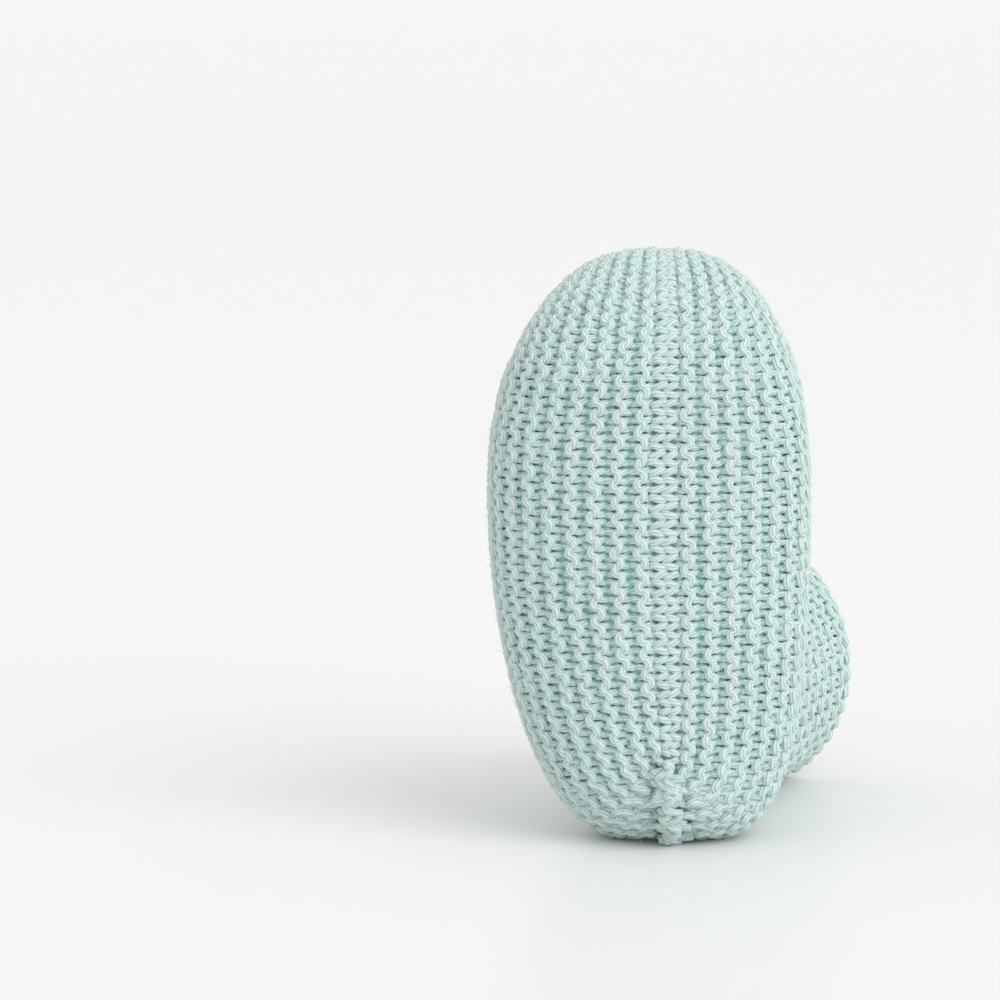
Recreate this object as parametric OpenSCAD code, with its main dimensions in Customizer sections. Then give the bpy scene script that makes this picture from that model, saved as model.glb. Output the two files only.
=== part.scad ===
// Hollow knitted baby bootie standing on its heel, with the sole upright and the toe at the top.
// X runs across the foot, the sole faces -Y, the leg opens towards +Y, and Z runs from heel to toe.
// The origin is on the floor, under the middle of the whole bootie.

/* [Foot] */
// Length of the sole from the heel to the tip of the toe
sole_length = 105; // [95:1:115]
// Greatest width of the foot
foot_width = 57.6; // [52:0.2:62]
// Depth from the sole to the widest line of the foot
sole_depth = 19; // [16:0.5:22]
// Depth from the sole to the top of the instep, at the ankle
instep_depth = 44; // [40:0.5:48]
// Depth from the sole to the gather at the end of the toe
gather_depth = 38; // [34:0.5:40]
// Height at which the foot is widest
widest_height = 63; // [57:1:69]
// Height at which the back seam starts on the sole
seam_top = 17; // [12:0.5:20]
// How far the heel and the tip of the toe bend to one side
foot_bend = 2.8; // [0:0.2:4]

/* [Leg] */
// Distance from the sole to the edge of the collar
collar_depth = 78; // [72:1:84]
// Half the outer width of the collar
collar_radius = 20.6; // [18:0.2:22]
// Half the outer height of the collar, which slumps to an oval
collar_rise = 24; // [20:0.5:26]
// How far the collar leans to one side of the foot
collar_lean = 18; // [8:0.5:22]
// Height of the ankle, where the front of the leg meets the instep
ankle_height = 46; // [42:0.5:50]

/* [Fabric] */
// Thickness of the knitted fabric
fabric = 3; // [2.4:0.2:3.4]
// Width of the smooth band along the middle of the sole
band_width = 6.8; // [5:0.2:8]
// Thickness of the edge that finishes the collar
edge_thickness = 3.2; // [2.6:0.2:3.6]
// How far the soft heel and leg flatten against the floor
settle = 0.6; // [0.3:0.1:1]

/* [Hidden] */

yarn_colour = [0.77, 0.87, 0.84];
seam_colour = [0.7, 0.83, 0.79];

half_width = foot_width / 2;
section_power = 0.87;       // roundness of the foot's cross-sections, where 1 is an ellipse
heel_power = 0.55;          // roundness of the heel seen from the sole, where 1 is an ellipse
band_heel_power = 0.4;      // the same for the rows beside the middle of the sole
toe_taper = 2.25;           // how fast the foot narrows above its widest height
toe_power = 3.5;            // roundness of the toe seen from the side
toe_rise = 15.5;            // how far the instep climbs inside the curl of the toe
toe_round = 2.4;            // roundness of the tip of the toe seen from the sole
toe_pinch = 0.2;            // how much narrower the toe is where it curls over
front_share = sole_depth / gather_depth;
toe_peak = 0.538 * gather_depth + 0.213 * toe_rise;  // height of the tip of the toe above the fan's foot
fan_height = sole_length + settle - toe_peak;
heel_round = 0.46;          // share of the back seam that lies on the round of the heel
leg_angle = 119;            // where the leg starts on the side of the foot
ankle_side_height = 23;     // height of the widest place of the ankle
seam_gap = 0.003;           // share of the heel that the back seam takes
seam_radius = 1.4;          // half the thickness of the back seam
toe_end = 2.62;             // where the rows end in the gather
instep_end = 177;           // where the rows end beside the instep seam
step = 0.01;                // small move along a surface, for its normal
lean_start = 26;            // depth from which the leg leans
lean_power = 1.2;           // how late the lean sets in
leg_curve = 1.4;            // how late the leg changes from the shape of the foot to the oval
bend_height = 65.6;         // height at which the foot stands square
bend_span = sole_length / 2;
middle_x = (collar_lean + collar_radius + bend(collar_rise) - half_width) / 2;
middle_y = collar_depth / 2;

band_angle = asin(pow(band_width / 2 / half_width, 1 / section_power));
sole_angle = 62;            // where the sole turns into the side wall

// Shape of the foot. turn goes from 0 at the middle of the sole to 180 at the middle of the
// instep. way goes from 0 at the back seam to 1 at the widest height, 2 at the foot of the toe's
// fan and 3 at the end of the fan.
function power(value, exponent) = value <= 0 ? 0 : pow(value, exponent);
function width_at(z) = half_width * (1 - toe_taper * pow((z - widest_height) / sole_length, 2));
function across(turn) = power(sin(turn), section_power);
function depth_share(turn) = cos(turn) > 0
    ? 1 - power(cos(turn), section_power) : 1 + power(-cos(turn), section_power);
function depth_at(turn, back) = turn < 90
    ? sole_depth * depth_share(turn) : sole_depth + (back - sole_depth) * (depth_share(turn) - 1);
function back_at(z) = gather_depth
    + (instep_depth - gather_depth) * (fan_height - z) / (fan_height - ankle_height);
function heel_turn(turn) = min(1, turn / 180 / heel_round) * 90;
function heel_run(turn) = max(0, turn / 180 - heel_round) / (1 - heel_round);
function seam_y(turn) = 0.5 + seam_top * (1 - cos(heel_turn(turn)))
    + (instep_depth - seam_top) * heel_run(turn);
function seam_z(turn) = seam_top * (1 - sin(heel_turn(turn)));
function row_power(turn) = band_heel_power
    + (heel_power - band_heel_power) * min(1, turn / 90);
function heel_point(turn, way) = let (
        swing = way * 90,
        low = seam_z(turn),
        side_y = depth_at(turn, back_at(widest_height)))
    [half_width * across(turn) * power(sin(swing), row_power(turn)),
        seam_y(turn) + (side_y - seam_y(turn)) * pow(sin(swing), 2),
        low + (widest_height - low) * (1 - cos(swing))];
function middle_point(turn, way) = let (
        z = widest_height + (fan_height - widest_height) * (way - 1))
    [width_at(z) * across(turn), depth_at(turn, back_at(z)), z];
function toe_point(turn, way) = let (
        fan = (way - 2) * 180,
        reach = gather_depth * power(cos(fan / 2), toe_power),
        wide = width_at(fan_height) * power(cos(fan / 2), toe_round) * (1 - toe_pinch * sin(fan)),
        inner_z = fan_height + toe_rise * (1 - cos(fan)) / 2,
        share = turn < 90 ? 1 - front_share * depth_share(turn)
            : (1 - front_share) * (2 - depth_share(turn)))
    [wide * across(turn), gather_depth - reach * share * cos(fan), inner_z + reach * share * sin(fan)];
function foot_point(turn, way) = way < 1 ? heel_point(turn, way)
    : way < 2 ? middle_point(turn, way) : toe_point(turn, way);

// Edge where the leg starts on the foot. part goes from 0 at the back seam to 1 at the side
// and 2 at the middle of the instep.
ankle_side_way = acos(1 - ankle_side_height / widest_height) / 90;
ankle_side_x = heel_point(leg_angle, ankle_side_way)[0];
function ankle_way(part) = part < 1
    ? seam_gap + (ankle_side_way - seam_gap) * power(part, 1 / heel_power)
    : acos(1 - (ankle_side_height + (ankle_height - ankle_side_height) * sin((part - 1) * 90))
        / widest_height) / 90;
function ankle_turn(part) = part < 1 ? leg_angle
    : 180 - asin(min(1, power(ankle_side_x * cos((part - 1) * 90)
        / (half_width * power(sin(ankle_way(part) * 90), heel_power)), 1 / section_power)));
function leg_point(part, rise) = let (
        foot = foot_point(ankle_turn(part), ankle_way(part)),
        start = asin(min(1, foot_point(leg_angle, seam_gap)[0] / collar_radius)),
        arc = start + (180 - start) * part / 2,
        collar = [collar_radius * sin(arc), collar_depth - edge_thickness / 2,
            collar_rise * (1 - cos(arc))],
        ease = pow(rise, leg_curve))
    [foot[0] + (collar[0] - foot[0]) * ease,
        foot[1] + (collar[1] - foot[1]) * rise,
        foot[2] + (collar[2] - foot[2]) * ease];

// The foot bends, the leg leans to one side, and the whole bootie settles on the floor.
function bend(z) = foot_bend * pow((z - bend_height) / bend_span, 2);
function lean(y) = collar_lean * pow(max(0, y - lean_start) / (collar_depth - lean_start), lean_power);
function placed(p, side, low) = [side * p[0] + bend(p[2]) + lean(p[1]) - middle_x,
    p[1] - middle_y, max(low, p[2] - settle)];
function unit(v) = v / max(norm(v), 0.000001);
function foot_inner(turn, way) = foot_point(turn, way) - fabric * unit(cross(
    foot_point(turn + 1, way) - foot_point(turn - 1, way),
    foot_point(turn, way + step) - foot_point(turn, way - step)));
function leg_inner(part, rise) = leg_point(part, rise) - fabric * unit(cross(
    leg_point(part, rise + step) - leg_point(part, max(0, rise - step)),
    leg_point(part + step, rise) - leg_point(part - step, rise)));

// A closed sheet between two grids of points, outer and inner. flip turns its faces round.
module sheet(outer, inner, flip) {
    rows = len(outer);
    cols = len(outer[0]);
    half = rows * cols;
    points = concat([for (row = outer) each row], [for (row = inner) each row]);
    skin = [for (i = [0:rows - 2], j = [0:cols - 2]) each let (a = i * cols + j, b = a + cols)
        [[a, b, b + 1], [a, b + 1, a + 1]]];
    lining = [for (f = skin) [f[2] + half, f[1] + half, f[0] + half]];
    rim = concat([for (j = [0:cols - 1]) j],
        [for (i = [1:rows - 1]) i * cols + cols - 1],
        [for (j = [cols - 2:-1:0]) (rows - 1) * cols + j],
        [for (i = [rows - 2:-1:1]) i * cols]);
    wall = [for (k = [0:len(rim) - 1]) each let (a = rim[k], b = rim[(k + 1) % len(rim)])
        [[a, b, b + half], [a, b + half, a + half]]];
    faces = concat(skin, lining, wall);
    polyhedron(points, flip ? [for (f = faces) [f[2], f[1], f[0]]] : faces, convexity = 8);
}

// A panel of the foot between two turns, over the given ways
module foot_panel(side, turn_a, turn_b, turns, ways) {
    grid = [for (i = [0:turns]) [for (way = ways) [turn_a + (turn_b - turn_a) * i / turns, way]]];
    sheet([for (row = grid) [for (g = row) placed(foot_point(g[0], g[1]), side, 0)]],
        [for (row = grid) [for (g = row) placed(foot_inner(g[0], g[1]), side, fabric)]], side < 0);
}

// A tube of the given radius along a path, pressed flat on the floor where it reaches it
module tube(path, radius, sides, closed) {
    count = len(path);
    ring = function (k) let (
            before = closed ? path[(k + count - 1) % count] : path[max(0, k - 1)],
            after = closed ? path[(k + 1) % count] : path[min(count - 1, k + 1)],
            ahead = unit(after - before),
            out = unit(cross(ahead, [0.3, 1, 0.2])),
            up = cross(out, ahead))
        [for (i = [0:sides - 1]) let (
                a = 360 * i / sides,
                p = path[k] + radius * (cos(a) * out + sin(a) * up))
            [p[0], p[1], max(0, p[2])]];
    points = [for (k = [0:count - 1]) each ring(k)];
    last = closed ? count - 1 : count - 2;
    skin = [for (k = [0:last], i = [0:sides - 1]) each let (
            j = (i + 1) % sides,
            a = k * sides,
            b = ((k + 1) % count) * sides)
        [[a + i, b + j, b + i], [a + i, a + j, b + j]]];
    ends = closed ? [] : [[for (i = [0:sides - 1]) sides - 1 - i],
        [for (i = [0:sides - 1]) (count - 1) * sides + i]];
    polyhedron(points, concat(skin, ends), convexity = 8);
}

heel_ways = [for (i = [0:12]) seam_gap + (1 - seam_gap) * pow(i / 12, 1 / heel_power)];
toe_ways = concat([1.33, 1.67, 2], [for (i = [1:12]) 2 + (toe_end - 2) * i / 12]);
full_ways = concat(heel_ways, toe_ways);

module sole_band() {
    sides = [-1, 0, 1];
    color(yarn_colour) sheet(
        [for (side = sides) [for (way = full_ways)
            placed(foot_point(abs(side) * band_angle, way), side, 0)]],
        [for (side = sides) [for (way = full_ways)
            placed(foot_inner(abs(side) * band_angle, way), side, fabric)]], false);
}

module sole_left() {
    color(yarn_colour) foot_panel(-1, band_angle, sole_angle, 7, full_ways);
}

module sole_right() {
    color(yarn_colour) foot_panel(1, band_angle, sole_angle, 7, full_ways);
}

module side_left() {
    color(yarn_colour) foot_panel(-1, sole_angle, leg_angle, 6, full_ways);
}

module side_right() {
    color(yarn_colour) foot_panel(1, sole_angle, leg_angle, 6, full_ways);
}

// Half of the instep, from the edge where the leg starts up to the gather
module instep(side) {
    last_part = 1 + acos(0.5 / ankle_side_x) / 90;
    columns = [for (i = [0:8]) 1 + (last_part - 1) * i / 8];
    grid = [for (part = columns) let (turn = min(instep_end, ankle_turn(part)), start = ankle_way(part))
        concat([for (k = [0:5]) [turn, start + (1 - start) * k / 6]],
            [for (way = concat([1], toe_ways)) [turn, way]])];
    color(yarn_colour) sheet(
        [for (row = grid) [for (g = row) placed(foot_point(g[0], g[1]), side, 0)]],
        [for (row = grid) [for (g = row) placed(foot_inner(g[0], g[1]), side, fabric)]], side < 0);
}

module instep_left() {
    instep(-1);
}

module instep_right() {
    instep(1);
}

// Half of the leg, from its edge on the foot to the collar
module leg(side) {
    parts = [for (i = [0:16]) i / 8];
    rises = [for (i = [0:10]) i / 10];
    color(yarn_colour) sheet(
        [for (part = parts) [for (rise = rises) placed(leg_point(part, rise), side, 0)]],
        [for (part = parts) [for (rise = rises) placed(leg_inner(part, rise), side, fabric)]], side > 0);
}

module leg_left() {
    leg(-1);
}

module leg_right() {
    leg(1);
}

module collar_edge() {
    inset = fabric / 2;
    turns = 48;
    path = [for (i = [0:turns - 1]) let (a = 360 * i / turns)
        placed([(collar_radius - inset) * sin(a), collar_depth - edge_thickness / 2,
            collar_rise - (collar_rise - inset) * cos(a)], 1, edge_thickness / 2)];
    color(seam_colour) tube(path, edge_thickness / 2, 10, true);
}

module back_seam() {
    leg_start = seam_y(leg_angle);
    path = concat(
        [for (i = [0:12]) let (turn = 4 + (leg_angle - 4) * i / 12)
            [0, seam_y(turn) + 1, seam_z(turn)]],
        [for (i = [1:12]) let (y = leg_start + (collar_depth - edge_thickness - leg_start) * i / 12)
            [0, y, 0]]);
    color(seam_colour) tube([for (p = path) placed(p, 1, seam_radius)], seam_radius, 8, false);
}

module instep_seam() {
    start = ankle_way(2);
    path = [for (i = [0:16]) let (p = foot_point(180, start + (2 - start) * i / 16))
        placed([0, p[1] - 1.5, p[2]], 1, 0)];
    color(seam_colour) tube(path, 1.1, 8, false);
}

module toe_gather() {
    middle = (toe_point(0, toe_end) + toe_point(180, toe_end)) / 2;
    color(seam_colour) hull() for (side = [-1, 1])
        translate(placed([6, middle[1] - 1, middle[2]], side, 0)) sphere(2, $fn = 24);
}

sole_band();
sole_left();
sole_right();
side_left();
side_right();
instep_left();
instep_right();
leg_left();
leg_right();
collar_edge();
back_seam();
instep_seam();
toe_gather();
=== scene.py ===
# A hollow knitted baby bootie, every row worked as real yarn. Lengths are in millimetres and
# angles in degrees until a mesh is made.
import math

import bpy
import numpy as np
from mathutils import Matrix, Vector


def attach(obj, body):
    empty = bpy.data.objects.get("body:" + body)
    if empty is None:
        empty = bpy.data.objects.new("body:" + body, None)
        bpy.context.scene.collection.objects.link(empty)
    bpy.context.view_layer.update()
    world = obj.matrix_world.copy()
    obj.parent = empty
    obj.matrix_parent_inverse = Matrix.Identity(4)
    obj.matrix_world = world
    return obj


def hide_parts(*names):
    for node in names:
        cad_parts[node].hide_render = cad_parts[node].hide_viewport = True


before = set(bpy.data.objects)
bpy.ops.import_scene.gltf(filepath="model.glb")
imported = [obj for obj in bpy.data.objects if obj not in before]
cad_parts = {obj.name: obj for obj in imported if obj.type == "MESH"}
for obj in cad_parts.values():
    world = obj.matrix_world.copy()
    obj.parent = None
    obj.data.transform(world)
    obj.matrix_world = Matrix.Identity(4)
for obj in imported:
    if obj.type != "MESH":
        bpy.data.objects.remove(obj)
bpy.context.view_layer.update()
rng = np.random.default_rng(7)
mm = 0.001
fullTurn = 2 * np.pi
collection = bpy.context.scene.collection

# The shape of the bootie, as in the frame.
shape = {
    "soleLength": 105, "halfWidth": 28.8, "soleDepth": 19, "instepDepth": 44, "gatherDepth": 38,
    "widestHeight": 63, "seamTop": 17, "seamDepth": 0.5, "heelRound": 0.46, "footBend": 2.8,
    "bendHeight": 65.6, "collarDepth": 78, "collarRadius": 20.6, "collarRise": 24, "collarLean": 18,
    "leanStart": 26, "leanPower": 1.2, "legCurve": 1.4, "ankleHeight": 46, "ankleSideHeight": 23,
    "legAngle": 119, "soleAngle": 62, "bandAngle": 5.6, "settle": 0.6, "sectionPower": 0.87,
    "heelPower": 0.55, "bandHeelPower": 0.4, "toeTaper": 2.25, "toePower": 3.5, "toeRise": 15.5,
    "toeRound": 2.4, "toePinch": 0.2, "seamGap": 0.003, "edgeThickness": 3.2, "fabric": 3,
}
# The curled toe's top stands above the start of the curl by these shares of its depth and rise.
toeTop = {"depthShare": 0.538, "riseShare": 0.213}
fanHeight = (shape["soleLength"] + shape["settle"] - toeTop["depthShare"] * shape["gatherDepth"]
             - toeTop["riseShare"] * shape["toeRise"])


def bend(z):        # sideways shift of the foot: a parabola in height
    return shape["footBend"] * ((z - shape["bendHeight"]) / (shape["soleLength"] / 2)) ** 2


middleX = (shape["collarLean"] + shape["collarRadius"] + bend(shape["collarRise"]) - shape["halfWidth"]) / 2
middleY = shape["collarDepth"] / 2

# The knitting. Noise is how far stitches differ, as a share or in millimetres.
knit = {
    "stitch": 3.02,             # width of a stitch along its row
    "row": 2.1,                 # height of a row; two rows make one garter ridge
    "reach": 1.68,              # how far a loop's head and foot stand off the middle of its row
    "garterSwing": 0.14,        # how far the loop's sides bow, as a share of the stitch
    "smoothSwing": 0.21,        # the same in smooth rows, where the sides make a chevron
    "garterDepth": 0.84,        # how far heads and feet stand in front of and behind the fabric
    "smoothDepth": 0.6,
    "radius": 0.76,             # half the yarn's thickness
    "plump": 0.03,              # how much thicker the yarn is at heads and feet than at the sides
    "steps": 16,                # points along one stitch
    "sides": 7,                 # points round the yarn
    "floorRoom": 1.12,          # least height of the yarn's middle above the floor, in radii
    "floorSoftness": 6,         # how sharply yarn near the floor is held above it
    "footDrift": 0.14, "footNoise": 0.09, "reachNoise": 0.04, "depthNoise": 0.05, "thickNoise": 0.04,
    "legDrift": 0.12, "legNoise": 0.07,
    "endTuck": 1.5,             # how far a row's end is tucked in at a seam
    "gatherTuck": 1.2, "seamTuckRun": 1.4, "gatherTuckRun": 1.6,
    "seamWay": 0.0015,          # where rows end at the back seam
    "gatherWay": 2.74,          # where rows end in the toe's gather
    "ankleOverlap": 0.02,       # how far instep rows start under the leg's first ring
    "legRings": 18, "legStitches": 41,
}


def sind(a):
    return np.sin(np.radians(a))


def cosd(a):
    return np.cos(np.radians(a))


def power(value, exponent):     # 0 for values that aren't positive
    return np.where(value > 0, np.maximum(value, 1e-12) ** exponent, 0.0)


def widthAt(z):     # half width of the foot above its widest height: a parabola
    fall = ((z - shape["widestHeight"]) / shape["soleLength"]) ** 2
    return shape["halfWidth"] * (1 - shape["toeTaper"] * fall)


def depthShare(turn):       # 0 at the sole, 1 at the widest line and 2 at the instep
    c = cosd(turn)
    return np.where(c > 0, 1 - power(c, shape["sectionPower"]), 1 + power(-c, shape["sectionPower"]))


def backAt(z):      # depth of the instep line: a straight slope from the ankle to the gather
    slope = (shape["instepDepth"] - shape["gatherDepth"]) / (fanHeight - shape["ankleHeight"])
    return shape["gatherDepth"] + slope * (fanHeight - z)


def depthAt(turn, back):
    share = depthShare(turn)
    return np.where(turn < 90, shape["soleDepth"] * share,
                    shape["soleDepth"] + (back - shape["soleDepth"]) * (share - 1))


def seamPoint(turn):        # the back seam: a quarter circle under the heel, then flat
    heelTurn = np.minimum(1, turn / 180 / shape["heelRound"]) * 90
    run = np.maximum(0, turn / 180 - shape["heelRound"]) / (1 - shape["heelRound"])
    y = (shape["seamDepth"] + shape["seamTop"] * (1 - cosd(heelTurn))
         + (shape["instepDepth"] - shape["seamTop"]) * run)
    return y, shape["seamTop"] * (1 - sind(heelTurn))


# A point of the foot. turn goes round from the middle of the sole, 0, to the middle of the instep,
# 180. way goes along a row: 0 at the back seam, 1 where the foot is widest, 2 where the toe starts
# to curl over, and 3 at the end of the curl. The heel is a quarter of an ellipse with a fuller
# power, the middle is straight, and the toe is a half circle that shrinks as it curls.
def footPoint(turn, way):
    turn, way = np.broadcast_arrays(np.asarray(turn, float), np.asarray(way, float))
    across = power(sind(turn), shape["sectionPower"])
    swing = np.clip(way, 0, 1) * 90
    fuller = shape["heelPower"] - shape["bandHeelPower"]
    rowPower = shape["bandHeelPower"] + fuller * np.minimum(1, turn / 90)
    seamY, seamZ = seamPoint(turn)
    sideY = depthAt(turn, backAt(shape["widestHeight"]))
    heel = np.stack([shape["halfWidth"] * across * power(sind(swing), rowPower),
                     seamY + (sideY - seamY) * sind(swing) ** 2,
                     seamZ + (shape["widestHeight"] - seamZ) * (1 - cosd(swing))], -1)
    z = shape["widestHeight"] + (fanHeight - shape["widestHeight"]) * (np.clip(way, 1, 2) - 1)
    middle = np.stack([widthAt(z) * across, depthAt(turn, backAt(z)), z], -1)
    fan = np.clip(way - 2, 0, 1) * 180
    reach = shape["gatherDepth"] * power(cosd(fan / 2), shape["toePower"])
    wide = (widthAt(fanHeight) * power(cosd(fan / 2), shape["toeRound"])
            * (1 - shape["toePinch"] * sind(fan)))
    innerZ = fanHeight + shape["toeRise"] * (1 - cosd(fan)) / 2
    front = shape["soleDepth"] / shape["gatherDepth"]
    share = depthShare(turn)
    share = np.where(turn < 90, 1 - front * share, (1 - front) * (2 - share))
    toe = np.stack([wide * across, shape["gatherDepth"] - reach * share * cosd(fan),
                    innerZ + reach * share * sind(fan)], -1)
    way = way[..., None]
    return np.where(way < 1, heel, np.where(way < 2, middle, toe))


# The edge where the leg starts. part is 0 at the back seam, 1 at the side and 2 at the instep.
def wayAtHeight(z):
    return np.degrees(np.arccos(1 - z / shape["widestHeight"])) / 90


sideWay = float(wayAtHeight(shape["ankleSideHeight"]))
sideX = float(footPoint(shape["legAngle"], sideWay)[0])


def ankleEdge(part):        # up the side at one turn, then over the instep along a quarter ellipse
    climb = shape["ankleHeight"] - shape["ankleSideHeight"]
    height = shape["ankleSideHeight"] + climb * sind((part - 1) * 90)
    gap = shape["seamGap"]
    sideRun = gap + (sideWay - gap) * np.clip(part, 0, 1) ** (1 / shape["heelPower"])
    way = np.where(part < 1, sideRun, wayAtHeight(np.clip(height, 0, None)))
    x = sideX * np.maximum(0, cosd((part - 1) * 90))
    widest = shape["halfWidth"] * power(sind(way * 90), shape["heelPower"])
    sine = np.clip(power(x / widest, 1 / shape["sectionPower"]), 0, 1)
    turn = np.where(part < 1, shape["legAngle"], 180 - np.degrees(np.arcsin(sine)))
    return turn, way


def legPoint(part, rise):       # part as above; rise goes from 0 at the foot to 1 at the collar
    part, rise = np.broadcast_arrays(np.asarray(part, float), np.asarray(rise, float))
    foot = footPoint(*ankleEdge(part))
    startX = float(footPoint(shape["legAngle"], shape["seamGap"])[0])
    start = math.degrees(math.asin(startX / shape["collarRadius"]))
    arc = start + (180 - start) * part / 2
    collar = np.stack([shape["collarRadius"] * sind(arc),
                       np.full_like(arc, shape["collarDepth"] - shape["edgeThickness"] / 2),
                       shape["collarRise"] * (1 - cosd(arc))], -1)
    ease = np.clip(rise, 0, None) ** shape["legCurve"]
    return foot + (collar - foot) * np.stack([ease, rise, ease], -1)


def placed(p, side):        # leans the leg, moves to the frame's origin, settles on the floor
    run = np.maximum(0, p[..., 1] - shape["leanStart"]) / (shape["collarDepth"] - shape["leanStart"])
    x = side * p[..., 0] + bend(p[..., 2]) + shape["collarLean"] * run ** shape["leanPower"] - middleX
    return np.stack([x, p[..., 1] - middleY, p[..., 2] - shape["settle"]], -1)


def runAlong(points, axis):     # distance along lines of points, 0 at their start
    steps = np.linalg.norm(np.diff(points, axis=axis), axis=-1)
    start = np.zeros_like(np.take(steps, [0], axis=axis))
    return np.concatenate([start, np.cumsum(steps, axis=axis)], axis)


# Tables that turn distances in millimetres into turn and way. The foot's distances along a row
# are counted from its widest height.
tables = {"turns": 181, "heelWays": 300, "heelCrowding": 2.2, "otherWays": 240, "runStart": -95,
          "runEnd": 75, "runStep": 0.25, "stations": 161, "rises": 41, "shares": 201}
turns = np.linspace(0, 180, tables["turns"])
ways = np.concatenate([np.linspace(0, 1, tables["heelWays"]) ** tables["heelCrowding"],
                       np.linspace(1.01, 3, tables["otherWays"])])
girthRun = runAlong(placed(footPoint(turns, 1.0), 1), 0)
alongRun = runAlong(footPoint(turns[:, None], ways[None, :]), 1)
alongRun -= np.array([np.interp(1.0, ways, row) for row in alongRun])[:, None]
runs = np.arange(tables["runStart"], tables["runEnd"], tables["runStep"])
wayTable = np.array([np.interp(runs, row, ways) for row in alongRun])


def lookUp(table, i, j):        # bilinear, i and j counted in cells of the table
    i0, j0 = i.astype(int), j.astype(int)
    fi, fj = i - i0, j - j0
    first = table[i0, j0] * (1 - fj) + table[i0, j0 + 1] * fj
    second = table[i0 + 1, j0] * (1 - fj) + table[i0 + 1, j0 + 1] * fj
    return first * (1 - fi) + second * fi


def turnAt(q):
    return np.interp(np.abs(q), girthRun, turns)


def footSurface(q, run):        # q: distance across the rows from the middle of the sole
    turn = turnAt(q)
    cell = np.clip((run - runs[0]) / tables["runStep"], 0, len(runs) - 1.001)
    way = lookUp(wayTable, np.clip(turn, 0, 179.999), cell)
    return placed(footPoint(turn, way), np.where(q < 0, -1, 1))


def footShell(turn, way):       # turn is below 0 on the left
    return placed(footPoint(np.abs(turn), way), np.where(turn < 0, -1, 1))


def legRing(m, rise):       # m goes right round: 0 back seam, 1 side, 2 front, 3 other side, 4 seam
    side = np.where(m < 2, 1, -1)
    return placed(legPoint(np.where(m < 2, m, 4 - m), rise), side)


stations = np.linspace(0, 4, tables["stations"])
rises = np.linspace(0, 1, tables["rises"])
shares = np.linspace(0, 1, tables["shares"])
ringRun = runAlong(legRing(stations[None, :], rises[:, None]), 1)
stationTable = np.array([np.interp(shares, row, stations) for row in ringRun / ringRun[:, -1:]])


def legSurface(rise, share):        # share: how far round the leg, as a share of the ring's length
    rise = np.clip(rise, -0.1, 1.04)
    m = lookUp(stationTable, np.clip(rise, 0, 1) * (len(rises) - 1.001),
               np.clip(share, 0, 1) * (len(shares) - 1.001))
    return legRing(m, rise)


def unit(v):
    return v / np.maximum(np.linalg.norm(v, axis=-1, keepdims=True), 1e-9)


def surfaceNormal(surface, a, b, stepA, stepB):     # cross product of small steps both ways
    across = surface(a + stepA, b) - surface(a - stepA, b)
    along = surface(a, b + stepB) - surface(a, b - stepB)
    return unit(np.cross(across, along))


def aboveFloor(height, least):      # eases heights near the floor to just above it
    soft = knit["floorSoftness"]
    return least + np.logaddexp(0, (height - least) * soft) / soft


def onSurface(surface, a, b, lift, stepA, stepB):
    # a point at (a, b), moved along the outward normal by lift, measured from the fabric's middle
    normal = surfaceNormal(surface, a, b, stepA, stepB)
    point = surface(a, b) + normal * (lift - shape["fabric"] / 2)[:, None]
    point[:, 2] = aboveFloor(point[:, 2], knit["radius"] * knit["floorRoom"])
    return point, normal


def addPiece(name, verts, faceGroups, material, node=None, uv=None, openness=None):
    # one object from vertices in millimetres and arrays of faces with equal numbers of sides
    mesh = bpy.data.meshes.new(name)
    corners = np.concatenate([group.ravel() for group in faceGroups])
    sizes = np.concatenate([np.full(len(group), group.shape[1]) for group in faceGroups])
    mesh.vertices.add(len(verts))
    mesh.vertices.foreach_set("co", (verts * mm).ravel())
    mesh.loops.add(len(corners))
    mesh.loops.foreach_set("vertex_index", corners)
    mesh.polygons.add(len(sizes))
    mesh.polygons.foreach_set("loop_start", np.concatenate([[0], np.cumsum(sizes)[:-1]]))
    mesh.update(calc_edges=True)
    layer = mesh.uv_layers.new(name="yarn")
    if uv is not None:
        layer.data.foreach_set("uv", uv.ravel())
    # openness is the mask for the yarn's painted shade deep in the fabric
    if openness is not None:
        mesh.attributes.new("open", "FLOAT", "POINT").data.foreach_set("value", openness)
    mesh.validate()
    mesh.shade_smooth()
    mesh.materials.append(material)
    piece = bpy.data.objects.new(name, mesh)
    collection.objects.link(piece)
    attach(piece, "root")
    if node is not None:
        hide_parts(node)
    print("made", name, int(np.sum(sizes - 2)), "triangles")


def tubeMesh(points, normals, radius, lift):
    # rings of points round a path, their frames taken from the surface normal; openness tells how
    # far each point stands off the middle of the fabric, 0 to 1
    sides = knit["sides"]
    ahead = unit(np.gradient(points, axis=0))
    out = unit(normals - ahead * np.sum(normals * ahead, 1, keepdims=True))
    aside = np.cross(ahead, out)
    a = (np.arange(sides) * fullTurn / sides)[None, :, None]
    radius = np.broadcast_to(radius, (len(points),))[:, None, None]
    verts = points[:, None] + radius * (np.cos(a) * out[:, None] + np.sin(a) * aside[:, None])
    height = np.abs(lift[:, None] + radius[:, :, 0] * np.cos(a[:, :, 0]))
    # small openness, deep in the fabric, gets the painted shade colour in the material
    openness = np.clip(height / (knit["garterDepth"] + knit["radius"]), 0, 1)
    i = np.arange(len(points) - 1)[:, None] * sides
    j = np.arange(sides)[None, :]
    k = (j + 1) % sides
    faces = np.stack([i + j, i + k, i + sides + k, i + sides + j], -1).reshape(-1, 4)
    length = runAlong(points, 0)
    u0 = np.repeat(length[:-1], sides)
    u1 = np.repeat(length[1:], sides)
    v0 = np.tile(np.arange(sides) / sides, len(points) - 1)
    v1 = v0 + 1 / sides
    uv = np.stack([u0, v0, u0, v1, u1, v1, u1, v0], 1).reshape(-1, 2)
    return verts.reshape(-1, 3), faces, uv, openness.ravel()


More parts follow.
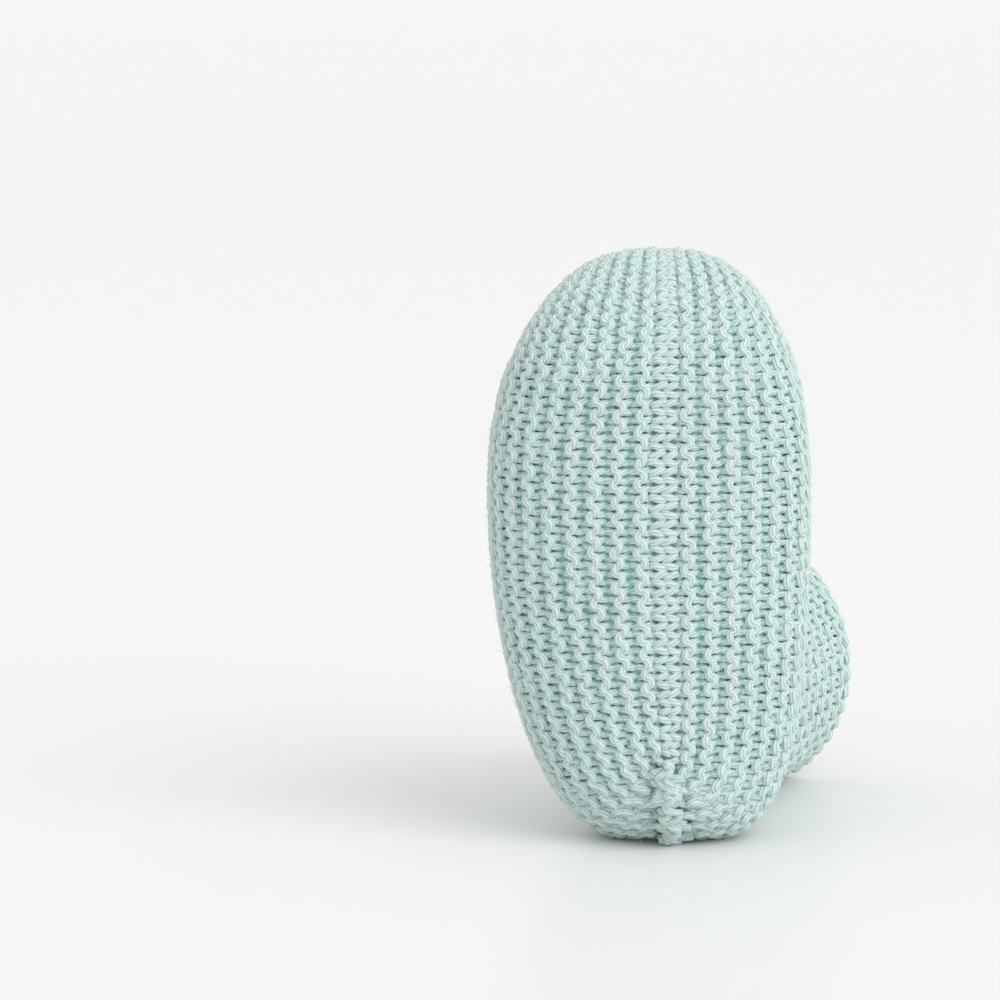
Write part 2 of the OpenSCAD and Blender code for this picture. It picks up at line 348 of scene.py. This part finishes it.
def yarnPiece(name, strands, node, material):
    # strands: a list of (points, normals, radius, lift), joined into one mesh with capped ends
    sides = knit["sides"]
    uvShift = 3.7       # so that neighbouring strands differ
    allVerts, allFaces, allUv, allOpen, caps, base = [], [], [], [], [], 0
    for order, strand in enumerate(strands):
        verts, faces, uv, openness = tubeMesh(*strand)
        allVerts.append(verts)
        allFaces.append(faces + base)
        allUv.append(uv + [order * uvShift, 0])
        allOpen.append(openness)
        first = base + np.arange(sides)
        base += len(verts)
        caps += [first[::-1], first - first[0] + base - sides]
    uv = np.concatenate(allUv + [np.zeros((len(caps) * sides, 2))])
    addPiece(name, np.concatenate(allVerts), [np.concatenate(allFaces), np.array(caps)], material,
             node, uv, np.concatenate(allOpen).astype(np.float32))


def rowSigns(r):
    # +1 in front, -1 behind: a smooth row keeps head and foot behind, garter rows alternate
    def plain(i):
        return -1 <= i <= 1 or i % 2 != 0
    foot = -1 if plain(r) else 1
    head = -1 if plain(r - 1) else 1
    return head, foot


def loopRow(t, head, foot):
    # along = t over a turn plus swing times sine of 2t; across = reach times cosine of t; depth
    # follows cosine of t, or of 2t when head and foot are on the same side
    same = head == foot
    depth = knit["smoothDepth"] if same else knit["garterDepth"]
    swing = knit["smoothSwing"] if same else knit["garterSwing"]
    along = t / fullTurn + swing * np.sin(2 * t)
    across = -knit["reach"] * np.cos(t)
    lift = depth * head * np.cos(2 * t if same else t)
    return along, across, lift


def drift(t, amount, shift):        # slow uneven drift along a row: four sines
    phase = rng.uniform(0, fullTurn, 4)
    rates = (0.07, 0.17, 0.31, 0.53)
    return amount * sum(np.sin(t * rate + phase[i] + shift) for i, rate in enumerate(rates)) / 2


def stitchNoise(t, amount):     # a new value for each stitch, eased between stitches
    count = int(t.max() / fullTurn) + 3
    values = rng.normal(0, amount, count)
    place = t / fullTurn + 0.5
    i = np.clip(place.astype(int), 0, count - 2)
    f = place - i
    f = f * f * (3 - 2 * f)
    return values[i] * (1 - f) + values[i + 1] * f


def tuck(distance, depth):      # pulls a row's end in over a short run: a bell curve
    return depth * np.exp(-np.maximum(distance, 0) ** 2)


rowCount = round(girthRun[-1] / knit["row"]) - 1
rowPitch = girthRun[-1] / (rowCount + 1)
print("tables ready,", rowCount + 1, "rows on each side,", round(rowPitch, 3), "mm apart")
ankleTurns, ankleWays = ankleEdge(np.linspace(1, 2, 60))


def footRow(r):     # one row of the foot, as a strand, with the name of its region
    q = (r + 0.5) * rowPitch
    turn = float(turnAt(q))
    rowRun = alongRun[int(round(turn))]
    startWay = knit["seamWay"]
    if turn > shape["legAngle"]:
        startWay = float(np.interp(turn, ankleTurns, ankleWays)) - knit["ankleOverlap"]
    startRun = np.interp(startWay, ways, rowRun)
    endRun = np.interp(knit["gatherWay"], ways, rowRun)
    stitches = (endRun - startRun) / knit["stitch"]
    count = max(8, int(stitches * knit["steps"]))
    t = (startRun / knit["stitch"] + np.linspace(0, stitches, count)) * fullTurn
    along, across, lift = loopRow(t, *rowSigns(r))
    t0 = t - t[0]
    along = along * knit["stitch"] + drift(t0, knit["footDrift"], r) + stitchNoise(t0, knit["footNoise"])
    across = across * (1 + stitchNoise(t0, knit["reachNoise"]))
    across = across + drift(t0, knit["footDrift"], r) + stitchNoise(t0, knit["footNoise"])
    lift = lift + stitchNoise(t0, knit["depthNoise"])
    lift = lift - tuck((along - startRun) / knit["seamTuckRun"], knit["endTuck"])
    lift = lift - tuck((endRun - along) / knit["gatherTuckRun"], knit["gatherTuck"])
    along = np.clip(along, startRun, endRun)
    points, normals = onSurface(footSurface, q + across, along, lift, 0.4, 0.4)
    thick = knit["radius"] * (1 + knit["plump"] * np.cos(2 * t)) * (1 + stitchNoise(t0, knit["thickNoise"]))
    side = "left" if q < 0 else "right"
    if turn < shape["bandAngle"]:
        region = "sole_band"
    elif turn < shape["soleAngle"]:
        region = "sole_" + side
    elif turn < shape["legAngle"]:
        region = "side_" + side
    else:
        region = "instep_" + side
    return region, (points, normals, thick, lift)


# Foot rows, numbered from left to right. They were worked from right to left, so each loop's head
# points to -X on the sole.
footRows = {}
for r in range(-rowCount - 1, rowCount + 1):
    region, strand = footRow(r)
    footRows.setdefault(region, []).append(strand)


def legRow(r):      # one ring of the leg, as its right and left halves
    stitches = knit["legStitches"]
    t = np.linspace(0, stitches, stitches * knit["steps"] + 1) * fullTurn
    head, foot = (1, -1) if r % 2 == 0 else (-1, 1)
    along, across, lift = loopRow(t, head, foot)
    shiftAlong = drift(t, knit["legDrift"], r) + stitchNoise(t, knit["legNoise"])
    shiftAcross = drift(t, knit["legDrift"], r) + stitchNoise(t, knit["legNoise"])
    along = (along + shiftAlong / knit["stitch"]) / stitches
    across = (shiftAcross - across) / knit["row"]
    lift = lift - tuck(np.minimum(along, 1 - along) * stitches * 2, knit["endTuck"])
    lift = lift + stitchNoise(t, knit["depthNoise"])
    rise = (r + 0.5 + across) / knit["legRings"]
    points, normals = onSurface(legSurface, rise, np.clip(along, 0, 1), lift, 0.01, 0.004)
    thick = knit["radius"] * (1 + knit["plump"] * np.cos(2 * t))
    half = len(t) // 2
    return [tuple(values[part] for values in (points, normals, thick, lift))
            for part in (slice(0, half + 1), slice(half, None))]


# Leg rows, rings from the ankle edge to the collar. The first lies under the foot's edge.
rings = [legRow(r) for r in range(-1, knit["legRings"])]
legRows = {"leg_left": [ring[1] for ring in rings], "leg_right": [ring[0] for ring in rings]}
print("rows worked:", 2 * rowCount + 2, "on the foot,", len(rings), "on the leg")

# Yarn: strands twisted round each other, fine hairs, and a tone that is painted darker in the grooves between
# the strands and uneven at random. The painted shade colour goes between the strands, where the yarn crosses
# the middle of the fabric and shade falls.
yarn = {
    "light": (0.74, 0.865, 0.84), "dark": (0.44, 0.66, 0.625), "paintedShade": (0.3, 0.62, 0.565),
    "paintedShadeReach": 0.36, "twist": 0.08, "strands": 6.0, "roughness": 0.85, "specular": 0.2,
    "sheen": 0.3, "sheenRoughness": 0.5, "bump": 0.9, "bumpDepth": 0.0003,
    "fibreLength": 0.9, "fibreWidth": 26, "fibreDetail": 2,
    "strandHeight": 0.7, "fibreHeight": 0.6, "grooveShade": 0.45, "fibreTone": 0.9,
}


def maths(tree, operation, a, b=None, clamp=False):
    node = tree.nodes.new("ShaderNodeMath")
    node.operation = operation
    node.use_clamp = clamp
    for socket, value in zip(node.inputs, (a, b)):
        if hasattr(value, "links"):
            tree.links.new(value, socket)
        elif value is not None:
            socket.default_value = value
    return node.outputs[0]


def yarnGroup():
    # strands are a sine of the angle round the yarn plus its twist; fibres are stretched noise. The tone
    # rises with the same wave and noise as the height, so the grooves between strands are painted darker:
    # painted shade, with an uneven tone from the fibres.
    tree = bpy.data.node_groups.new("twistedYarn", "ShaderNodeTree")
    for name, value in (("Twist", yarn["twist"]), ("Strands", yarn["strands"])):
        socket = tree.interface.new_socket(name, in_out="INPUT", socket_type="NodeSocketFloat")
        socket.default_value = value
    tree.interface.new_socket("Tone", in_out="OUTPUT", socket_type="NodeSocketFloat")
    tree.interface.new_socket("Height", in_out="OUTPUT", socket_type="NodeSocketFloat")
    nodes, links = tree.nodes, tree.links
    inside = nodes.new("NodeGroupInput")
    outside = nodes.new("NodeGroupOutput")
    uvMap = nodes.new("ShaderNodeUVMap")
    uvMap.uv_map = "yarn"
    parts = nodes.new("ShaderNodeSeparateXYZ")
    links.new(uvMap.outputs[0], parts.inputs[0])
    along, angle = parts.outputs[0], parts.outputs[1]
    turned = maths(tree, "ADD", angle, maths(tree, "MULTIPLY", along, inside.outputs["Twist"]))
    phase = maths(tree, "MULTIPLY", maths(tree, "MULTIPLY", turned, inside.outputs["Strands"]), 2 * math.pi)
    wave = maths(tree, "ADD", maths(tree, "MULTIPLY", maths(tree, "SINE", phase), 0.5), 0.5)
    fibres = nodes.new("ShaderNodeTexNoise")
    fibres.inputs["Scale"].default_value = 1.0
    fibres.inputs["Detail"].default_value = yarn["fibreDetail"]
    stretch = nodes.new("ShaderNodeCombineXYZ")
    links.new(maths(tree, "MULTIPLY", along, yarn["fibreLength"]), stretch.inputs[0])
    links.new(maths(tree, "MULTIPLY", turned, yarn["fibreWidth"]), stretch.inputs[1])
    links.new(stretch.outputs[0], fibres.inputs["Vector"])
    domed = maths(tree, "POWER", wave, 0.5)
    height = maths(tree, "ADD", maths(tree, "MULTIPLY", domed, yarn["strandHeight"]),
                   maths(tree, "MULTIPLY", fibres.outputs[0], yarn["fibreHeight"]))
    # painted shade in the grooves between the strands, with an uneven tone from the fibre noise
    tone = maths(tree, "ADD", maths(tree, "MULTIPLY", wave, yarn["grooveShade"]),
                 maths(tree, "MULTIPLY", fibres.outputs[0], yarn["fibreTone"]), True)
    links.new(height, outside.inputs["Height"])
    links.new(tone, outside.inputs["Tone"])
    return tree


twisted = yarnGroup()


def plainMaterial(name, colour, roughness):
    material = bpy.data.materials.new(name)
    material.use_nodes = True
    shader = material.node_tree.nodes["Principled BSDF"]
    shader.inputs["Base Color"].default_value = (*colour, 1)
    shader.inputs["Roughness"].default_value = roughness
    return material, shader


def yarnMaterial(name):     # darker to lighter by tone, which holds painted shade in the grooves, then towards the painted shade colour where openness is small
    material, shader = plainMaterial(name, yarn["light"], yarn["roughness"])
    nodes, links = material.node_tree.nodes, material.node_tree.links
    group = nodes.new("ShaderNodeGroup")
    group.node_tree = twisted
    openness = nodes.new("ShaderNodeAttribute")
    openness.attribute_name = "open"
    paintedShadeMask = nodes.new("ShaderNodeMapRange")
    paintedShadeMask.interpolation_type = "SMOOTHSTEP"
    paintedShadeMask.inputs["From Min"].default_value = 0.0
    paintedShadeMask.inputs["From Max"].default_value = yarn["paintedShadeReach"]
    links.new(openness.outputs["Fac"], paintedShadeMask.inputs["Value"])

    def blend(factor, first, second):
        node = nodes.new("ShaderNodeMix")
        node.data_type = "RGBA"
        links.new(factor, node.inputs[0])
        node.inputs[6].default_value = (*first, 1)
        if hasattr(second, "links"):
            links.new(second, node.inputs[7])
        else:
            node.inputs[7].default_value = (*second, 1)
        return node.outputs[2]

    toned = blend(group.outputs["Tone"], yarn["dark"], yarn["light"])
    # painted shade: a darker, deeper teal where the yarn lies deep in the fabric, between the strands
    links.new(blend(paintedShadeMask.outputs[0], yarn["paintedShade"], toned), shader.inputs["Base Color"])
    bump = nodes.new("ShaderNodeBump")
    bump.inputs["Strength"].default_value = yarn["bump"]
    bump.inputs["Distance"].default_value = yarn["bumpDepth"]
    links.new(group.outputs["Height"], bump.inputs["Height"])
    links.new(bump.outputs[0], shader.inputs["Normal"])
    shader.inputs["Sheen Weight"].default_value = yarn["sheen"]
    shader.inputs["Sheen Roughness"].default_value = yarn["sheenRoughness"]
    shader.inputs["Specular IOR Level"].default_value = yarn["specular"]
    return material


garterYarn = yarnMaterial("garterYarn")
smoothYarn = yarnMaterial("smoothYarn")

for region, strands in footRows.items():
    if region == "sole_band":
        yarnPiece("knit_" + region, strands, region, smoothYarn)
    else:
        yarnPiece("knit_" + region, strands, region, garterYarn)
for region, strands in legRows.items():
    yarnPiece("knit_" + region, strands, region, garterYarn)

# Sewn, drawn and bound yarn lies on the outside, so its lift counts as fully open and it gets none of the
# painted shade.
outerLift = 3.0

# Seams: each strand has its reach to the side, pitch along the seam, height and radius.
seams = {
    "back": ((2.0, 1.9, 0.3, 0.6), (1.6, 3.1, 0.7, 0.64), (1.3, 2.3, 0.9, 0.6),
             (0.9, 4.1, 1.2, 0.66), (0.7, 2.7, 1.3, 0.6)),
    "instep": ((1.3, 2.1, 0.1, 0.62),),
    "steps": 14, "least": 0.4, "reachNoise": 0.4, "heightNoise": 0.3, "placeNoise": 0.5,
    "thickNoise": 0.12, "legEnds": (0.03, 0.97), "instepEnd": 2.55,
}


def sewnPath(centre, reach, pitch, height, radius):
    # a yarn oversewn along a line: sideways, reach times sine of f; off the fabric, height times
    # the size of cosine of f
    right = np.array([1.0, 0, 0])
    run = runAlong(centre, 0)
    count = int(run[-1] / pitch * seams["steps"])
    along = np.linspace(0, run[-1], count)
    line = np.stack([np.interp(along, run, centre[:, i]) for i in range(3)], 1)
    ahead = unit(np.gradient(line, axis=0))
    out = unit(np.cross(ahead, right))
    f = along / pitch * 2 * np.pi
    reach = reach * (1 + stitchNoise(f, seams["reachNoise"]))
    height = height * (seams["least"] + (1 - seams["least"]) * np.abs(np.cos(f)))
    height = height + stitchNoise(f, seams["heightNoise"])
    aside = reach * np.sin(f) + stitchNoise(f, seams["placeNoise"])
    place = line + right * aside[:, None] + out * height[:, None]
    place += ahead * stitchNoise(f, seams["placeNoise"])[:, None]
    thick = radius * (1 + stitchNoise(f, seams["thickNoise"]))
    place[:, 2] = aboveFloor(place[:, 2], thick)
    return place, out, thick, np.full(count, outerLift)


heelTurns = np.linspace(1, shape["legAngle"], 80)
seamY, seamZ = seamPoint(heelTurns)
heelLine = placed(np.stack([heelTurns * 0, seamY, seamZ], 1), 1)
legLine = placed(legPoint(np.zeros(40), np.linspace(*seams["legEnds"], 40)) * [0, 1, 1], 1)
backLine = np.concatenate([heelLine, legLine])
ankleTop = float(ankleWays[-1])
instepWays = ankleTop + np.linspace(0, 1, 90) * (seams["instepEnd"] - ankleTop)
instepLine = placed(footPoint(180.0, instepWays), 1)[::-1]
backYarn = [sewnPath(backLine, *strand) for strand in seams["back"]]
instepYarn = [sewnPath(instepLine, *strand) for strand in seams["instep"]]
seamMaterial = yarnMaterial("seamYarn")
yarnPiece("sewn_back_seam", backYarn, "back_seam", seamMaterial)
yarnPiece("sewn_instep_seam", instepYarn, "instep_seam", seamMaterial)

# The toe's gather: an oval coil that draws the ends of the toe's rows together.
gather = {"turns": 3.2, "points": 150, "way": 2.62, "halfWidth": 3.4, "halfHeight": 2.5, "rise": 1.1,
          "sink": 0.6, "stack": 0.12, "shrink": 0.26, "noise": 0.25, "thickNoise": 0.08, "radius": 0.8}


def gatherYarn():       # a spiral whose radii shrink by the same share each turn
    f = np.linspace(0, gather["turns"], gather["points"]) * 2 * np.pi
    middle = placed((footPoint(0.0, gather["way"]) + footPoint(180.0, gather["way"])) / 2, 1)
    size = 1 - gather["shrink"] * f / (2 * np.pi)
    place = middle + np.stack([gather["halfWidth"] * size * np.cos(f),
                               gather["stack"] * f / np.pi - gather["sink"],
                               gather["rise"] + gather["halfHeight"] * size * np.sin(f)], 1)
    place += np.stack([stitchNoise(f * 4, gather["noise"]) for _ in range(3)], 1)
    thick = gather["radius"] * (1 + stitchNoise(f * 4, gather["thickNoise"]))
    return (place, np.tile([0.0, 1, 0], (gather["points"], 1)), thick,
            np.full(gather["points"], outerLift))


yarnPiece("drawn_toe_gather", [gatherYarn()], "toe_gather", seamMaterial)

# The bound-off edge: a chain of loops round the mouth of the leg.
edge = {"stitches": 44, "swing": 0.2, "swingNoise": 0.05, "inset": 1.5, "sink": 0.2, "reach": 1.25,
        "depth": 0.5, "noise": 0.08, "radius": 0.8, "plump": 0.1}


def edgeYarn():     # the loops of a row, laid on the collar's oval
    t = np.linspace(0, edge["stitches"], edge["stitches"] * knit["steps"] + 1) * 2 * np.pi
    loops = t / (2 * np.pi) + edge["swing"] * np.sin(2 * t) + stitchNoise(t, edge["swingNoise"])
    angle = loops / edge["stitches"] * 2 * np.pi
    angle[0], angle[-1] = 0, 2 * np.pi
    radial = np.stack([np.sin(angle), angle * 0, -np.cos(angle)], 1)
    y = shape["collarDepth"] - shape["edgeThickness"] / 2 - edge["sink"]
    ring = np.stack([(shape["collarRadius"] - edge["inset"]) * np.sin(angle),
                     np.full(len(angle), y),
                     shape["collarRise"] - (shape["collarRise"] - edge["inset"]) * np.cos(angle)], 1)
    ring = ring + radial * (edge["reach"] * np.cos(t) + stitchNoise(t, edge["noise"]))[:, None]
    ring[:, 1] += -edge["depth"] * np.cos(2 * t) + stitchNoise(t, edge["noise"])
    place = placed(ring, 1)
    thick = edge["radius"] * (1 + edge["plump"] * np.cos(2 * t))
    place[:, 2] = aboveFloor(place[:, 2], thick)
    return place, np.tile([0.0, 1, 0], (len(t), 1)), thick, np.full(len(t), outerLift)


yarnPiece("bound_collar_edge", [edgeYarn()], "collar_edge", garterYarn)

# The loose fibres that close the gaps between the rows, and the shade and scattered light in those gaps: a
# thin teal sheet inside the fabric, its colour painted to stand in for the light seen in the gaps. Depths are
# those of its front and back, measured from the fabric's middle.
fibres = {"footDepths": (-0.25, -0.6), "legDepths": (-0.18, -0.5), "colour": (0.39, 0.67, 0.62),
          "roughness": 0.9, "specular": 0.1, "ankleOverlap": 0.01, "toeWay": 2.92, "wayCrowding": 1.6,
          "lowest": 0.3}
# the sheet's teal colour is partly painted: it stands in for the shade and scattered light seen in the gaps,
# as well as the loose fibres
fibreAndShadeLook, fibreAndShadeShader = plainMaterial("fibresAndGapShade", fibres["colour"], fibres["roughness"])
fibreAndShadeShader.inputs["Specular IOR Level"].default_value = fibres["specular"]


def sheetPiece(name, surface, a, b, steps, outward, depths):
    # a thin closed sheet: two grids of points, the second behind the first, and a rim between them
    a, b = np.broadcast_arrays(a, b)
    rows, columns = a.shape
    middle = surface(a, b)
    normal = surfaceNormal(surface, a, b, *steps) * outward
    layers = [middle + normal * (depth - shape["fabric"] / 2) for depth in depths]
    verts = np.concatenate(layers).reshape(-1, 3)
    verts[:, 2] = np.maximum(verts[:, 2], fibres["lowest"])
    i = np.arange(rows - 1)[:, None] * columns
    j = np.arange(columns - 1)[None, :]
    cells = np.stack([i + j, i + j + 1, i + columns + j + 1, i + columns + j], -1).reshape(-1, 4)
    half = rows * columns
    rim = np.concatenate([np.arange(columns), np.arange(2, rows) * columns - 1,
                          np.arange(half - 1, half - columns - 1, -1),
                          np.arange(rows - 2, 0, -1) * columns])
    ahead = np.roll(rim, -1)
    walls = np.stack([rim, rim + half, ahead + half, ahead], -1)
    faces = np.concatenate([cells, cells[:, ::-1] + half, walls])
    if outward < 0:
        faces = faces[:, ::-1]
    addPiece(name, verts, [faces], fibreAndShadeLook)


halfTurns = np.concatenate([np.linspace(0, shape["legAngle"], 41),
                            np.linspace(shape["legAngle"] + 0.01, 180, 21)])
sheetTurns = np.concatenate([-halfTurns[:0:-1], halfTurns])
ankleStarts = np.interp(np.abs(sheetTurns), ankleTurns, ankleWays) - fibres["ankleOverlap"]
firstWays = np.where(np.abs(sheetTurns) > shape["legAngle"], ankleStarts, knit["seamWay"])
wayShares = np.linspace(0, 1, 90)[:, None] ** fibres["wayCrowding"]
sheetWays = firstWays + (fibres["toeWay"] - firstWays) * wayShares
sheetPiece("fibres_and_shade_foot", footShell, sheetTurns[None, :], sheetWays, (0.3, 0.004), 1, fibres["footDepths"])
sheetPiece("fibres_and_shade_leg", legRing, np.linspace(0, 4, 121)[None, :], np.linspace(-0.02, 1, 40)[:, None],
           (0.02, 0.01), -1, fibres["legDepths"])

# Fuzz: fine hairs that leave the yarn's outer side and curl over.
fuzz = {"count": 9500, "spread": 0.55, "curlSpread": 0.6, "shortest": 0.6, "longest": 1.9, "root": 0.8,
        "droop": 0.45, "curl": 0.7, "lowest": 0.05, "sides": 3, "colour": (0.78, 0.88, 0.86),
        "roughness": 0.7, "places": (0, 0.35, 0.7, 1), "thickness": (0.04, 0.036, 0.03, 0.016)}


def fuzzPaths():        # out along the hair less a droop, plus a curl that grows with the square
    count = fuzz["count"]
    every = [strand for group in (footRows, legRows) for rows in group.values() for strand in rows]
    points = np.concatenate([strand[0] for strand in every])
    normals = np.concatenate([strand[1] for strand in every])
    ahead = unit(np.concatenate([np.gradient(strand[0], axis=0) for strand in every]))
    pick = rng.integers(0, len(points), count)
    out = unit(normals[pick] + rng.normal(0, fuzz["spread"], (count, 3)))
    way = rng.choice([-1, 1], count)[:, None]
    curl = unit(ahead[pick] * way + rng.normal(0, fuzz["curlSpread"], (count, 3)))
    length = rng.uniform(fuzz["shortest"], fuzz["longest"], count)[:, None, None]
    start = points[pick] + out * knit["radius"] * fuzz["root"]
    reach = np.array(fuzz["places"])[None, :, None]
    path = (start[:, None] + out[:, None] * length * (reach - fuzz["droop"] * reach ** 2)
            + curl[:, None] * length * (reach ** 2 * fuzz["curl"]))
    path[..., 2] = np.maximum(path[..., 2], fuzz["lowest"])
    return path


def fuzzPiece():        # each hair is a three-sided tube of four rings
    path = fuzzPaths()
    sides, ringCount = fuzz["sides"], len(fuzz["places"])
    ahead = unit(np.gradient(path, axis=1))
    aside = unit(np.cross(ahead, np.array([0.31, 0.2, 0.93])))
    other = np.cross(ahead, aside)
    angle = (np.arange(sides) * 2 * np.pi / sides)[None, None, :, None]
    thick = np.array(fuzz["thickness"])[None, :, None, None]
    verts = path[:, :, None] + thick * (np.cos(angle) * aside[:, :, None] + np.sin(angle) * other[:, :, None])
    i = np.arange(ringCount - 1)[:, None] * sides
    j = np.arange(sides)[None, :]
    k = (j + 1) % sides
    walls = np.stack([i + j, i + k, i + sides + k, i + j, i + sides + k, i + sides + j], -1).reshape(-1, 3)
    last = (ringCount - 1) * sides
    one = np.concatenate([walls, [(2, 1, 0), (last, last + 1, last + 2)]])
    faces = (one[None] + np.arange(len(path))[:, None, None] * sides * ringCount).reshape(-1, 3)
    material, _ = plainMaterial("fuzzFibre", fuzz["colour"], fuzz["roughness"])
    addPiece("yarn_fuzz", verts.reshape(-1, 3), [faces], material)


fuzzPiece()

# Floor, light and camera. The camera looks down on the point it aims at, and sees widthSeen there.
studio = {"distance": 900, "elevation": 7.35, "aimX": -26.5, "aimZ": 62.95, "widthSeen": 174.2,
          "sensor": 36, "nearest": 0.01, "keyStrength": 1.3, "keyAngle": 50, "keyWay": (-0.6, 0.6, -0.6),
          "sky": 0.86, "floorHalf": 9.0, "floorTone": 0.862, "floorRoughness": 0.32, "floorSpecular": 0.06}


def makeFloor():
    half = studio["floorHalf"]
    mesh = bpy.data.meshes.new("floor")
    corners = [(-half, -half, 0), (half, -half, 0), (half, half, 0), (-half, half, 0)]
    mesh.from_pydata(corners, [], [(0, 1, 2, 3)])
    material, shader = plainMaterial("paleFloor", (studio["floorTone"],) * 3, studio["floorRoughness"])
    shader.inputs["Specular IOR Level"].default_value = studio["floorSpecular"]
    mesh.materials.append(material)
    floor = bpy.data.objects.new("floor", mesh)
    collection.objects.link(floor)


def makeCamera():
    camera = bpy.data.objects.new("camera", bpy.data.cameras.new("camera"))
    collection.objects.link(camera)
    camera.data.sensor_width = studio["sensor"]
    camera.data.lens = studio["sensor"] * studio["distance"] / studio["widthSeen"]
    camera.data.clip_start = studio["nearest"]
    angle = math.radians(studio["elevation"])
    aim = Vector((studio["aimX"] - middleX, -middleY, studio["aimZ"])) * mm
    back = Vector((0, -math.cos(angle), math.sin(angle))) * studio["distance"] * mm
    camera.location = aim + back
    camera.rotation_euler = (math.pi / 2 - angle, 0, 0)
    bpy.context.scene.camera = camera


def makeLight():        # an even white sky and a broad sun from the right and front
    world = bpy.data.worlds.new("studio")
    bpy.context.scene.world = world
    world.use_nodes = True
    background = world.node_tree.nodes["Background"]
    background.inputs["Color"].default_value = (1, 1, 1, 1)
    background.inputs["Strength"].default_value = studio["sky"]
    lamp = bpy.data.lights.new("key", "SUN")
    lamp.energy = studio["keyStrength"]
    lamp.angle = math.radians(studio["keyAngle"])
    key = bpy.data.objects.new("key", lamp)
    collection.objects.link(key)
    key.rotation_euler = Vector(studio["keyWay"]).to_track_quat("-Z", "Y").to_euler()
    bpy.context.scene.view_settings.view_transform = "Standard"


makeFloor()
makeCamera()
makeLight()
print("floor, camera and light ready")
